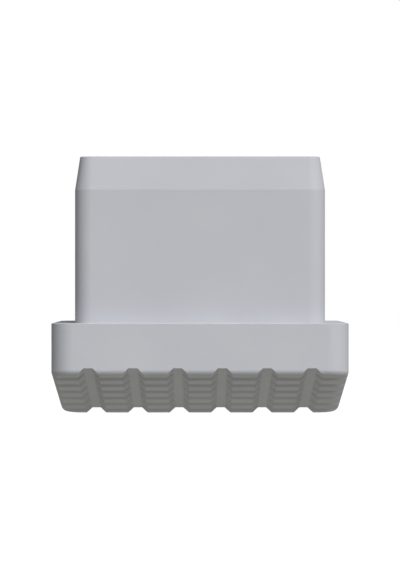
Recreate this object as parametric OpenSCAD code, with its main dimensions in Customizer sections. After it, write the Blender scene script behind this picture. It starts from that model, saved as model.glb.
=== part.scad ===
// Angled end cap for a square tube, moulded in one piece.
// The plug fills the tube, the tube's end sits on the collar round it, and the collar ends in a
// sloping, cross-grooved sole, so that a leaning leg stands flat on the floor.
//
// Z runs along the tube, up from the plane that the tube's end sits on. -Y is the short side.

/* [Tube] */
// Outside width of the square tube, and so of the collar
tube_w = 40; // [35:0.5:50]
// Wall thickness of the tube
tube_wall = 3; // [2:0.1:4]
// Radius of the tube's outside corners, and so of the collar's
tube_corner_r = 3; // [2.5:0.1:5]

/* [Plug] */
// Height of the plug above the tube's end
plug_h = 22.5; // [16:0.5:40]
// Gap on each side between the plug and the inside of the tube
plug_gap = 0.1; // [0.05:0.05:0.3]
// Radius of the plug's upright corners
plug_corner_r = 2.3; // [1.8:0.1:3]
// Height of the sloping lead-in at the plug's mouth
lead_in_h = 4.5; // [2:0.5:8]
// How far the lead-in draws the mouth in on each side
lead_in_inset = 0.7; // [0.3:0.05:1.2]

/* [Core] */
// Wall of the plug, above the lead-in's foot
plug_wall = 2.4; // [1.8:0.1:3.5]
// Radius of the core's upright corners
core_corner_r = 1.6; // [0.8:0.1:2.5]
// Thickness of the crossed ribs at their top edge
rib_t = 1.8; // [1.2:0.1:3]
// How far the ribs stop below the plug's mouth
rib_drop = 3; // [1:0.5:8]
// Draft of the core and ribs
core_draft = 1; // [0.5:0.25:2]

/* [Sole] */
// Slope of the sole, which is the lean of the leg
sole_slope = 9.4; // [4:0.2:12]
// Depth of the collar on its short side
collar_front_h = 6.85; // [6:0.05:12]
// Radius of the edge between the collar's sides and the sole
sole_edge_r = 0.8; // [0.4:0.1:1.4]
// Thickness of the plate between the core and the sole
sole_plate_t = 4; // [3:0.25:5]

/* [Tread] */
// Spacing of the grooves that run down the slope
groove_pitch = 6; // [5:0.5:10]
// Spacing of the grooves across the slope, measured on the sole
cross_pitch = 6.45; // [5:0.05:8]
// From the short side to the middle of the first groove across, measured on the sole
cross_start = 4.5; // [3:0.1:6]
// Depth of the grooves
groove_depth = 0.85; // [0.4:0.05:1.2]
// Width of the grooves' flat floor
groove_floor_w = 1.2; // [0.8:0.1:2]
// Slope of the grooves' sides, from the floor of the tread
groove_side_angle = 45; // [40:5:70]

/* [Hidden] */

$fn = 48;
// Overlap that keeps cuts clear of the faces they pass through
cut = 1;

// Plug
plug_w = tube_w - 2 * (tube_wall + plug_gap);
lead_in_z = plug_h - lead_in_h;

// Core, measured at the plug's mouth and at the tube's end
core_mouth_w = plug_w - 2 * plug_wall;
core_taper = tan(core_draft);

// Sole: its height under a point, and the direction it faces
sole_mid_h = collar_front_h + tube_w / 2 * tan(sole_slope);
sole_out = [0, -sin(sole_slope), -cos(sole_slope)];
function sole_z(y) = -sole_mid_h - y * tan(sole_slope);

// Tread
groove_mouth_w = groove_floor_w + 2 * groove_depth / tan(groove_side_angle);
groove_n = floor((tube_w - groove_mouth_w) / groove_pitch);
sole_len = tube_w / cos(sole_slope);
cross_n = floor((sole_len - groove_mouth_w / 2 - cross_start) / cross_pitch) + 1;
groove_len = 2 * tube_w;

// Steps round each corner of the collar, and round the sole's edge from side to sole
corner_steps = 12;
edge_steps = 8;

// Places round a rounded square: the angle the side faces and the centre its corner turns about
function outline(w, r) = [
    for (quarter = [0:3])
        for (i = [0:corner_steps])
            let (
                mid = 90 * quarter + 45,
                half = (w / 2 - r) * sqrt(2)
            )
            [mid - 45 + 90 * i / corner_steps, half * [cos(mid), sin(mid)]]
];

// A ball of the edge's radius rolls along the corner between the sides and the sole.
// Its centre, and the point where it touches the way t from the side (0) to the sole (1)
function ball_centre(place) =
    let (p = place[1] + (tube_corner_r - sole_edge_r) * [cos(place[0]), sin(place[0])])
    [p.x, p.y, sole_z(p.y) + sole_edge_r / cos(sole_slope)];

function edge_point(place, t) =
    let (
        side_out = [cos(place[0]), sin(place[0]), 0],
        turn = acos(side_out * sole_out),
        way = (sin((1 - t) * turn) * side_out + sin(t * turn) * sole_out) / sin(turn)
    )
    ball_centre(place) + sole_edge_r * way;

// The same corner carried up past the tube's seat, and the last strip of the edge carried on
// through the sole, so that both flats trim the loft
function above_seat(place) =
    let (p = place[1] + tube_corner_r * [cos(place[0]), sin(place[0])])
    [p.x, p.y, cut];

function below_sole(place) =
    2 * edge_point(place, 1) - edge_point(place, 1 - 1 / edge_steps);

module rounded_square(w, r) {
    square([w, w - 2 * r], center = true);
    square([w - 2 * r, w], center = true);
    for (x = [-1, 1], y = [-1, 1])
        translate([x * (w / 2 - r), y * (w / 2 - r)])
            circle(r);
}

// The sides and the rounded edge of the collar, as a loft round the tube's outline
module collar_loft() {
    places = outline(tube_w, tube_corner_r);
    n = len(places);
    rings = concat(
        [[for (place = places) above_seat(place)]],
        [for (k = [0:edge_steps - 1]) [for (place = places) edge_point(place, k / edge_steps)]],
        [[for (place = places) below_sole(place)]]
    );
    last = len(rings) - 1;
    polyhedron(
        points = [for (ring = rings) each ring],
        faces = concat(
            [[for (i = [n - 1:-1:0]) i]],
            [[for (i = [0:n - 1]) last * n + i]],
            [
                for (k = [0:last - 1], i = [0:n - 1])
                    let (a = k * n + i, b = k * n + (i + 1) % n)
                    each [[a, b, b + n], [a, b + n, a + n]]
            ]
        )
    );
}

// The collar before its tread, between the flat seat and the flat sole
module collar_blank() {
    intersection() {
        collar_loft();
        rotate([90, 0, 90])
            linear_extrude(2 * tube_w, center = true)
                polygon([
                    [-tube_w, 0],
                    [-tube_w, sole_z(-tube_w)],
                    [tube_w, sole_z(tube_w)],
                    [tube_w, 0]
                ]);
    }
}

// Grooves along Y, with their middles at the given places, cut up into the plane z = 0
module groove_row(middles) {
    reach = cut / tan(groove_side_angle);
    for (x = middles)
        translate([x, 0, 0])
            rotate([90, 0, 0])
                linear_extrude(groove_len, center = true)
                    polygon([
                        [-groove_mouth_w / 2 - reach, -cut],
                        [groove_mouth_w / 2 + reach, -cut],
                        [groove_floor_w / 2, groove_depth],
                        [-groove_floor_w / 2, groove_depth]
                    ]);
}

module tread() {
    down = [for (i = [0:groove_n - 1]) (i - (groove_n - 1) / 2) * groove_pitch];
    across = [for (i = [0:cross_n - 1]) cross_start + i * cross_pitch - sole_len / 2];
    translate([0, 0, -sole_mid_h])
        rotate([-sole_slope, 0, 0]) {
            groove_row(down);
            rotate(90) groove_row(across);
        }
}

// A bar along X whose sides lean in by the lead-in's inset
module lead_in_bar() {
    foot = plug_w / 2;
    rotate([90, 0, 0])
        linear_extrude(plug_w - 2 * plug_corner_r, center = true)
            polygon([
                [-foot, 0],
                [foot, 0],
                [foot - lead_in_inset, lead_in_h],
                [-foot + lead_in_inset, lead_in_h]
            ]);
}

module plug_outside() {
    corner = plug_w / 2 - plug_corner_r;
    translate([0, 0, -cut])
        linear_extrude(lead_in_z + cut)
            rounded_square(plug_w, plug_corner_r);
    translate([0, 0, lead_in_z]) {
        lead_in_bar();
        rotate(90) lead_in_bar();
        for (x = [-corner, corner], y = [-corner, corner])
            translate([x, y, 0])
                cylinder(h = lead_in_h, r1 = plug_corner_r, r2 = plug_corner_r - lead_in_inset);
    }
}

// The room inside the plug, down to a floor parallel to the sole
module core_room() {
    depth = plug_h + sole_mid_h + tube_w / 2 * tan(sole_slope);
    foot_w = core_mouth_w - 2 * depth * core_taper;
    intersection() {
        hull() {
            translate([0, 0, plug_h])
                linear_extrude(cut)
                    rounded_square(core_mouth_w, core_corner_r);
            translate([0, 0, plug_h - depth])
                linear_extrude(cut)
                    rounded_square(foot_w, core_corner_r);
        }
        translate([0, 0, -sole_mid_h])
            rotate([-sole_slope, 0, 0])
                translate([-tube_w, -tube_w, sole_plate_t])
                    cube([2 * tube_w, 2 * tube_w, plug_h + tube_w]);
    }
}

// A rib along Y, thicker at its foot by the draft
module rib() {
    top_z = plug_h - rib_drop;
    depth = top_z + sole_mid_h + tube_w / 2 * tan(sole_slope);
    foot_t = rib_t + 2 * depth * core_taper;
    rotate([90, 0, 0])
        linear_extrude(tube_w, center = true)
            polygon([
                [-rib_t / 2, top_z],
                [rib_t / 2, top_z],
                [foot_t / 2, top_z - depth],
                [-foot_t / 2, top_z - depth]
            ]);
}

module end_cap() {
    color([0.71, 0.72, 0.74])
        difference() {
            union() {
                collar_blank();
                plug_outside();
            }
            tread();
            difference() {
                core_room();
                rib();
                rotate(90) rib();
            }
        }
}

end_cap();
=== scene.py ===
"""Looks of the angled end cap for a square tube: its moulded finish, the studio and the camera.

The cap is one moulding. Its solid comes from the frame. The piece built here has the same form with
the small rounded edges of a moulding, and it takes the solid's place.
"""

import math

import bmesh
import bpy
from mathutils import Matrix, Vector


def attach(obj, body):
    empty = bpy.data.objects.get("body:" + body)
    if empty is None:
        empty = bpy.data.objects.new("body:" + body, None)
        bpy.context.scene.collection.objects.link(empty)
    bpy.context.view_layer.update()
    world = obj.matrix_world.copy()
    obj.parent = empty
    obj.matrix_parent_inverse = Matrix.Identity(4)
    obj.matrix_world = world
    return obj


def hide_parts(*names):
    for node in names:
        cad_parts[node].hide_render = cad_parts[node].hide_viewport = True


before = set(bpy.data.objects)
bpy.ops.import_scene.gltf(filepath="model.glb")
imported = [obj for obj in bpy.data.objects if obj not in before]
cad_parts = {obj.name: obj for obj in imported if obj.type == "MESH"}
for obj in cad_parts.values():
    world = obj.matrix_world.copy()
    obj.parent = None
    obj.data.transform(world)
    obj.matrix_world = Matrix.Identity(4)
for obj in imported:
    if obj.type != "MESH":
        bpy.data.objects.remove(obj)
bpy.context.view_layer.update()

MM = 0.001

# Sizes of the cap, in millimetres
TUBE_HALF = 20.0
TUBE_CORNER_R = 3.0
PLUG_HALF = 16.9
PLUG_CORNER_R = 2.3
PLUG_H = 22.5
LEAD_IN_H = 4.5
LEAD_IN_INSET = 0.7
CORE_HALF = 14.5
CORE_CORNER_R = 1.6
CORE_DRAFT = math.radians(1.0)
RIB_T = 1.8
RIB_DROP = 3.0
SOLE_SLOPE = math.radians(9.4)
COLLAR_FRONT_H = 6.85
SOLE_EDGE_R = 0.8
SOLE_PLATE_T = 4.0
GROOVE_PITCH = 6.0
GROOVE_DEPTH = 0.85
GROOVE_FLOOR_HALF = 0.6
GROOVE_SIDE = math.radians(45.0)
GROOVE_N = 6
CROSS_PITCH = 6.45
CROSS_START = 4.5

# Small rounded edges that the mould gives
RIM_R = 0.15
KINK_R = 1.5
FOOT_R = 0.06
LEDGE_R = 0.06
CORE_FLOOR_R = 0.6
RIB_EDGE_R = 0.3
LAND_R = 0.1

# How far the core's rounded rim turns outwards. From there its cutting form goes on straight
RIM_TURN = math.radians(75.0)

# Steps round a quarter corner, round the sole's edge and round each small edge
CORNER_STEPS = 24
EDGE_STEPS = 16
SMALL_STEPS = 4

# Rounds of the search for a place on the core's sloping floor
SEARCH_ROUNDS = 3

# The forms that cut: how far the core's goes past its rim, how long the bars for the ribs and
# grooves are, and how far a groove's bar reaches beside its mouth, below the sole and clear of
# the lands
CORE_PAST = 1.0
BAR_L = 4 * TUBE_HALF
BAR_BESIDE = 1.5
BAR_BELOW = 0.5
BAR_CLEAR = 0.02

# Points closer than this are one point, and edges that turn by more than this are sharp
WELD = 0.0005
SHARP = math.radians(30.0)

SOLE_MID_H = COLLAR_FRONT_H + TUBE_HALF * math.tan(SOLE_SLOPE)
SOLE_OUT = Vector((0, -math.sin(SOLE_SLOPE), -math.cos(SOLE_SLOPE)))


def sole_z(y):
    """The height of the sole's plane at a place from front to back."""
    return -SOLE_MID_H - y * math.tan(SOLE_SLOPE)


def add(name, data):
    """Puts a new object with the given data into the scene."""
    obj = bpy.data.objects.new(name, data)
    bpy.context.scene.collection.objects.link(obj)
    return obj


def add_mesh(name, points, faces):
    """A new object with the given faces. Its points are in millimetres."""
    mesh = bpy.data.meshes.new(name)
    mesh.from_pydata([p * MM for p in points], [], faces)
    mesh.update()
    return add(name, mesh)


def places():
    """Stations round a rounded square: the corner's signs and the way the side faces there."""
    found = []
    for quarter in range(4):
        mid = math.radians(90 * quarter + 45)
        signs = Vector((math.copysign(1, math.cos(mid)), math.copysign(1, math.sin(mid)), 0))
        for i in range(CORNER_STEPS + 1):
            a = mid + math.radians(90 * i / CORNER_STEPS - 45)
            found.append((signs, Vector((math.cos(a), math.sin(a), 0))))
    return found


def ring(half, corner_r, z):
    """A level rounded square."""
    level = Vector((0, 0, z))
    return [signs * (half - corner_r) + out * corner_r + level for signs, out in places()]


def edge_ring(t):
    """Where a ball rolled along the sole's edge touches, from the side (0) to the sole (1)."""
    found = []
    for signs, out in places():
        p = signs * (TUBE_HALF - TUBE_CORNER_R) + out * (TUBE_CORNER_R - SOLE_EDGE_R)
        centre = Vector((p.x, p.y, sole_z(p.y) + SOLE_EDGE_R / math.cos(SOLE_SLOPE)))
        turn = out.angle(SOLE_OUT)
        way = (out * math.sin((1 - t) * turn) + SOLE_OUT * math.sin(t * turn)) / math.sin(turn)
        found.append(centre + way * SOLE_EDGE_R)
    return found


def core_rim_ring(half, z):
    """A level ring round the core. Its corners keep their centres, whatever its size."""
    return ring(half, half - CORE_HALF + CORE_CORNER_R, z)


def core_floor_ring(inset, height):
    """A ring round the core at a height above its sloping floor.

    The core narrows downwards, so a place and its height are found in turn, a few times over.
    """
    found = []
    for signs, out in places():
        p = Vector((signs.x * CORE_HALF, signs.y * CORE_HALF, 0))
        for _ in range(SEARCH_ROUNDS):
            z = sole_z(p.y) + SOLE_PLATE_T / math.cos(SOLE_SLOPE) + height
            half = CORE_HALF - (PLUG_H - z) * math.tan(CORE_DRAFT)
            p = signs * (half - CORE_CORNER_R) + out * (CORE_CORNER_R - inset)
        found.append(Vector((p.x, p.y, z)))
    return found


def soften(points, radii):
    """Rounds the inner corners of a run of 2-D points, each with its own radius."""
    out = [points[0]]
    for before, here, after, r in zip(points, points[1:], points[2:], radii):
        a = (Vector(before) - Vector(here)).normalized()
        b = (Vector(after) - Vector(here)).normalized()
        half = a.angle(b) / 2
        centre = Vector(here) + (a + b).normalized() * (r / math.sin(half))
        start = Vector(here) + a * (r / math.tan(half)) - centre
        end = Vector(here) + b * (r / math.tan(half)) - centre
        turn = start.angle(end)
        for i in range(SMALL_STEPS + 1):
            t = i / SMALL_STEPS
            mixed = start * math.sin((1 - t) * turn) + end * math.sin(t * turn)
            out.append(tuple(centre + mixed / math.sin(turn)))
    out.append(points[-1])
    return out


def loft(name, rings):
    """A closed form through rings of equal length, top ring first."""
    n = len(rings[0])
    last = (len(rings) - 1) * n
    faces = [tuple(range(n)), tuple(range(last, last + n))[::-1]]
    for k in range(len(rings) - 1):
        for i in range(n):
            a = k * n + i
            b = k * n + (i + 1) % n
            faces.append((a, a + n, b + n, b))
    return add_mesh(name, [p for r in rings for p in r], faces)


def bars(name, outlines, place):
    """Bars along Y with the given outlines in X and Z, each counterclockwise, set at a place."""
    points = []
    faces = []
    for outline in outlines:
        n = len(outline)
        first = len(points)
        for y in (-BAR_L / 2, BAR_L / 2):
            points += [place @ Vector((x, y, z)) for x, z in outline]
        near = list(range(first, first + n))
        far = list(range(first + n, first + 2 * n))
        faces.append(tuple(near))
        faces.append(tuple(far[::-1]))
        for i in range(n):
            j = (i + 1) % n
            faces.append((near[j], near[i], far[i], far[j]))
    return add_mesh(name, points, faces)


def cut(obj, tool):
    """Takes the tool's form out of the object, and deletes the tool."""
    mod = obj.modifiers.new("cut", "BOOLEAN")
    mod.operation = "DIFFERENCE"
    mod.object = tool
    mod.solver = "MANIFOLD"
    with bpy.context.temp_override(object=obj, active_object=obj, selected_objects=[obj]):
        bpy.ops.object.modifier_apply(modifier=mod.name)
    bpy.data.objects.remove(tool)


def outside():
    """The cap's outside, from the plug's mouth down to the sole, before its tread."""
    plug_line = soften(
        [
            (0, PLUG_H),
            (PLUG_HALF - LEAD_IN_INSET, PLUG_H),
            (PLUG_HALF, PLUG_H - LEAD_IN_H),
            (PLUG_HALF, 0),
            (TUBE_HALF, 0),
        ],
        [RIM_R, KINK_R, FOOT_R],
    )[1:-1]
    ledge_line = soften(
        [(PLUG_HALF, 0), (TUBE_HALF, 0), (TUBE_HALF, -COLLAR_FRONT_H)],
        [LEDGE_R],
    )[1:-1]
    plug_centre = PLUG_HALF - PLUG_CORNER_R
    collar_centre = TUBE_HALF - TUBE_CORNER_R
    rings = [ring(half, half - plug_centre, z) for half, z in plug_line]
    rings += [ring(half, half - collar_centre, z) for half, z in ledge_line]
    rings += [edge_ring(k / EDGE_STEPS) for k in range(EDGE_STEPS + 1)]
    return loft("end_cap_moulding", rings)


def core():
    """The room inside the plug, flared at its mouth and rounded at its floor, less the ribs."""
    above = PLUG_H + CORE_PAST / math.tan(RIM_TURN)
    rings = [core_rim_ring(CORE_HALF + RIM_R + CORE_PAST, above)]
    for i in range(SMALL_STEPS, -1, -1):
        a = RIM_TURN * i / SMALL_STEPS
        half = CORE_HALF + RIM_R * (1 - math.cos(a))
        rings.append(core_rim_ring(half, PLUG_H - RIM_R * (1 - math.sin(a))))
    floor_steps = 2 * SMALL_STEPS
    for i in range(floor_steps + 1):
        a = math.radians(90 * i / floor_steps)
        inset = CORE_FLOOR_R * (1 - math.cos(a))
        rings.append(core_floor_ring(inset, CORE_FLOOR_R * (1 - math.sin(a))))
    room = loft("core", rings)
    top = PLUG_H - RIB_DROP
    depth = 2 * PLUG_H
    foot_half = RIB_T / 2 + depth * math.tan(CORE_DRAFT)
    outline = soften(
        [(foot_half, top - depth), (RIB_T / 2, top), (-RIB_T / 2, top), (-foot_half, top - depth)],
        [RIB_EDGE_R, RIB_EDGE_R],
    )
    for quarter in range(2):
        turn = Matrix.Rotation(math.radians(90 * quarter), 4, "Z")
        cut(room, bars("rib", [outline], turn))
    return room


def groove_outline(x):
    """A groove's section about x, up from the sole's plane, with rounded lands and floor."""
    mouth = GROOVE_FLOOR_HALF + GROOVE_DEPTH / math.tan(GROOVE_SIDE)
    flare = soften(
        [
            (mouth + BAR_BESIDE, -BAR_CLEAR),
            (mouth, 0),
            (GROOVE_FLOOR_HALF, GROOVE_DEPTH),
            (0, GROOVE_DEPTH),
        ],
        [LAND_R, LAND_R],
    )
    side = [(mouth + BAR_BESIDE, -BAR_BELOW)] + flare[:-1]
    right = [(x + px, pz) for px, pz in side]
    left = [(x - px, pz) for px, pz in side[::-1]]
    return right + left


def tread_rows():
    """The two sets of grooves, along and across the sole."""
    place = Matrix.Translation((0, 0, -SOLE_MID_H)) @ Matrix.Rotation(-SOLE_SLOPE, 4, "X")
    short_side = -TUBE_HALF / math.cos(SOLE_SLOPE)
    along = [(i - (GROOVE_N - 1) / 2) * GROOVE_PITCH for i in range(GROOVE_N)]
    across = [short_side + CROSS_START + i * CROSS_PITCH for i in range(GROOVE_N)]
    rows = []
    for quarter, middles in enumerate((along, across)):
        turn = Matrix.Rotation(math.radians(90 * quarter), 4, "Z")
        rows.append(bars("grooves", [groove_outline(x) for x in middles], place @ turn))
    return rows


def finish_mesh(obj):
    """Merges doubled points and shades the rounded edges smooth, between even flats."""
    work = bmesh.new()
    work.from_mesh(obj.data)
    bmesh.ops.remove_doubles(work, verts=work.verts, dist=WELD * MM)
    bmesh.ops.dissolve_degenerate(work, edges=work.edges, dist=WELD * MM)
    work.to_mesh(obj.data)
    work.free()
    obj.data.shade_smooth()
    obj.data.set_sharp_from_angle(angle=SHARP)
    normals = obj.modifiers.new("normals", "WEIGHTED_NORMAL")
    normals.keep_sharp = True


def moulding():
    """The whole cap, in one piece."""
    made = outside()
    cut(made, core())
    for row in tread_rows():
        cut(made, row)
    finish_mesh(made)
    return made


# The plastic's two greys, which drift into each other, and its gloss
GREY_A = (0.457, 0.467, 0.503, 1)
GREY_B = (0.476, 0.484, 0.518, 1)
SPECULAR = 0.05

# Nearly all of the noise lies between these two
NOISE_LOW = 0.3
NOISE_HIGH = 0.7


def node(tree, kind, **sockets):
    """Adds a shader node and sets its sockets by name."""
    made = tree.nodes.new(kind)
    for name, value in sockets.items():
        made.inputs[name.replace("_", " ")].default_value = value
    return made


def noise(tree, grain, detail, low=0.0, high=1.0):
    """Noise with a grain in millimetres, in the cap's own space, spread between two values."""
    place = tree.nodes.new("ShaderNodeTexCoord")
    made = node(tree, "ShaderNodeTexNoise", Scale=1 / (grain * MM), Detail=detail, Roughness=0.5)
    spread = node(
        tree,
        "ShaderNodeMapRange",
        From_Min=NOISE_LOW,
        From_Max=NOISE_HIGH,
        To_Min=low,
        To_Max=high,
    )
    tree.links.new(place.outputs["Object"], made.inputs["Vector"])
    tree.links.new(made.outputs["Fac"], spread.inputs["Value"])
    return spread.outputs["Result"]


def bump(tree, height, depth, under=None):
    """Raises a surface by a depth in millimetres, on top of any bump under it."""
    made = node(tree, "ShaderNodeBump", Strength=1.0, Distance=depth * MM)
    tree.links.new(height, made.inputs["Height"])
    if under:
        tree.links.new(under, made.inputs["Normal"])
    return made.outputs["Normal"]


def cap_plastic():
    """Light grey plastic from a lightly etched mould: faint clouds, fine grain, uneven sheen."""
    material = bpy.data.materials.new("cap_plastic")
    material.use_nodes = True
    tree = material.node_tree
    shader = tree.nodes["Principled BSDF"]
    shader.inputs["Specular IOR Level"].default_value = SPECULAR
    clouds = node(tree, "ShaderNodeMix")
    clouds.data_type = "RGBA"
    clouds.inputs["A"].default_value = GREY_A
    clouds.inputs["B"].default_value = GREY_B
    tree.links.new(noise(tree, grain=9.0, detail=3.0), clouds.inputs["Factor"])
    tree.links.new(clouds.outputs["Result"], shader.inputs["Base Color"])
    sheen = noise(tree, grain=2.5, detail=4.0, low=0.8, high=0.92)
    tree.links.new(sheen, shader.inputs["Roughness"])
    peel = bump(tree, noise(tree, grain=0.9, detail=2.0), depth=0.003)
    etch = bump(tree, noise(tree, grain=0.12, detail=2.0), depth=0.004, under=peel)
    tree.links.new(etch, shader.inputs["Normal"])
    return material


# The floor lies below the photo's frame, so the cap's shadow falls out of it
FLOOR_Z = -50.0
FLOOR_HALF = 3000.0

# The floor's colour for the light that it throws on the cap, and its colour and glow for the eye
FLOOR_LIT = (0.15, 0.147, 0.13, 1)
FLOOR_PALE = (0.6, 0.6, 0.6, 1)
FLOOR_GLOW = 0.44
WHITE = (1, 1, 1, 1)

# How far the light table lies above the floor
TABLE_GAP = 0.5


def capped_sum(tree, first, second):
    """Adds two values, up to 1."""
    made = tree.nodes.new("ShaderNodeMath")
    made.operation = "ADD"
    made.use_clamp = True
    tree.links.new(first, made.inputs[0])
    tree.links.new(second, made.inputs[1])
    return made.outputs[0]


def mix(tree, share, first, second):
    """Goes from the first shader to the second as the share goes from 0 to 1."""
    made = tree.nodes.new("ShaderNodeMixShader")
    tree.links.new(share, made.inputs["Fac"])
    tree.links.new(first.outputs[0], made.inputs[1])
    tree.links.new(second.outputs[0], made.inputs[2])
    return made


def pale_to_camera(tree, seen, lit):
    """Mixes a shader that the eye and reflections see with the one that lights the cap."""
    path = tree.nodes.new("ShaderNodeLightPath")
    share = capped_sum(tree, path.outputs["Is Camera Ray"], path.outputs["Is Glossy Ray"])
    share = capped_sum(tree, share, path.outputs["Is Transmission Ray"])
    return mix(tree, share, lit, seen)


def floor():
    """A pale floor that holds the cap's shadow. From underneath it can be seen through."""
    material = bpy.data.materials.new("floor")
    material.use_nodes = True
    tree = material.node_tree
    tree.nodes.clear()
    lit = node(tree, "ShaderNodeBsdfDiffuse", Color=FLOOR_LIT)
    pale = node(tree, "ShaderNodeBsdfDiffuse", Color=FLOOR_PALE)
    glow = node(tree, "ShaderNodeEmission", Color=WHITE, Strength=FLOOR_GLOW)
    seen = tree.nodes.new("ShaderNodeAddShader")
    tree.links.new(pale.outputs[0], seen.inputs[0])
    tree.links.new(glow.outputs[0], seen.inputs[1])
    side = tree.nodes.new("ShaderNodeNewGeometry")
    through = tree.nodes.new("ShaderNodeBsdfTransparent")
    top = pale_to_camera(tree, seen, lit)
    both = mix(tree, side.outputs["Backfacing"], top, through)
    out = tree.nodes.new("ShaderNodeOutputMaterial")
    tree.links.new(both.outputs[0], out.inputs["Surface"])
    corners = [(-1, -1), (1, -1), (1, 1), (-1, 1)]
    points = [Vector((x * FLOOR_HALF, y * FLOOR_HALF, FLOOR_Z)) for x, y in corners]
    obj = add_mesh("floor", points, [(0, 1, 2, 3)])
    obj.data.materials.append(material)


def surroundings(level):
    """A world that is white to the eye and lights the cap at a level."""
    world = bpy.data.worlds.new("studio")
    world.use_nodes = True
    tree = world.node_tree
    tree.nodes.clear()
    lit = node(tree, "ShaderNodeBackground", Color=WHITE, Strength=level)
    seen = node(tree, "ShaderNodeBackground", Color=WHITE, Strength=1.0)
    out = tree.nodes.new("ShaderNodeOutputWorld")
    tree.links.new(pale_to_camera(tree, seen, lit).outputs[0], out.inputs["Surface"])
    bpy.context.scene.world = world


def sun(name, azimuth, elevation, spread, strength, gleam=True):
    """A soft, distant lamp. Azimuth 0 is in front and 90 to the right, in degrees.

    A lamp without gleam lights the plastic's colour and leaves its sheen alone.
    """
    lamp = bpy.data.lights.new(name, "SUN")
    lamp.energy = strength
    lamp.angle = math.radians(spread)
    obj = add(name, lamp)
    a = math.radians(azimuth)
    e = math.radians(elevation)
    toward = Vector((math.sin(a) * math.cos(e), -math.cos(a) * math.cos(e), math.sin(e)))
    obj.rotation_euler = toward.to_track_quat("Z", "Y").to_euler()
    obj.visible_glossy = gleam


def light_table(radius, y, power, color):
    """A round lamp just above the floor, shining up at the sole, that the eye doesn't see."""
    lamp = bpy.data.lights.new("light_table", "AREA")
    lamp.shape = "DISK"
    lamp.size = 2 * radius * MM
    lamp.energy = power
    lamp.color = color
    obj = add("light_table", lamp)
    obj.location = Vector((0, y, FLOOR_Z + TABLE_GAP)) * MM
    obj.rotation_euler = (math.pi, 0, 0)
    obj.visible_camera = False


# The camera stands level, a little above the ledge. Its lens is set by the photo's perspective
IMAGE_H = 570
FOCAL_PX = 3500
SENSOR_W = 36.0
EYE_DISTANCE = 488.0
EYE_Z = 5.15


def eye():
    """The camera. The image is taller than wide, so the sensor's width spans its height."""
    camera = bpy.data.cameras.new("camera")
    camera.sensor_width = SENSOR_W
    camera.lens = FOCAL_PX * SENSOR_W / IMAGE_H
    obj = add("camera", camera)
    obj.location = Vector((0, -EYE_DISTANCE, EYE_Z)) * MM
    obj.rotation_euler = (math.radians(90), 0, 0)
    bpy.context.scene.camera = obj


cap = moulding()
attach(cap, "root")
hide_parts("end_cap")
cap.data.materials.clear()
cap.data.materials.append(cap_plastic())

floor()
surroundings(level=0.02)

# Each lamp's azimuth, elevation, spread and strength
sun("key", 30, 40, 40, 2.08)
sun("low", 30, 15, 40, 0.57)
sun("low_sharp", 30, 20, 20, 0.41)
sun("high_right", 60, 65, 40, 1.09)
sun("high_left", -60, 40, 40, 0.58)
sun("low_left", -30, 15, 40, 0.21)
sun("behind", -170, 3, 6, 2.6, gleam=False)
light_table(radius=60, y=-10, power=0.0135, color=(1, 0.985, 0.86))

eye()
bpy.context.scene.view_settings.view_transform = "Standard"
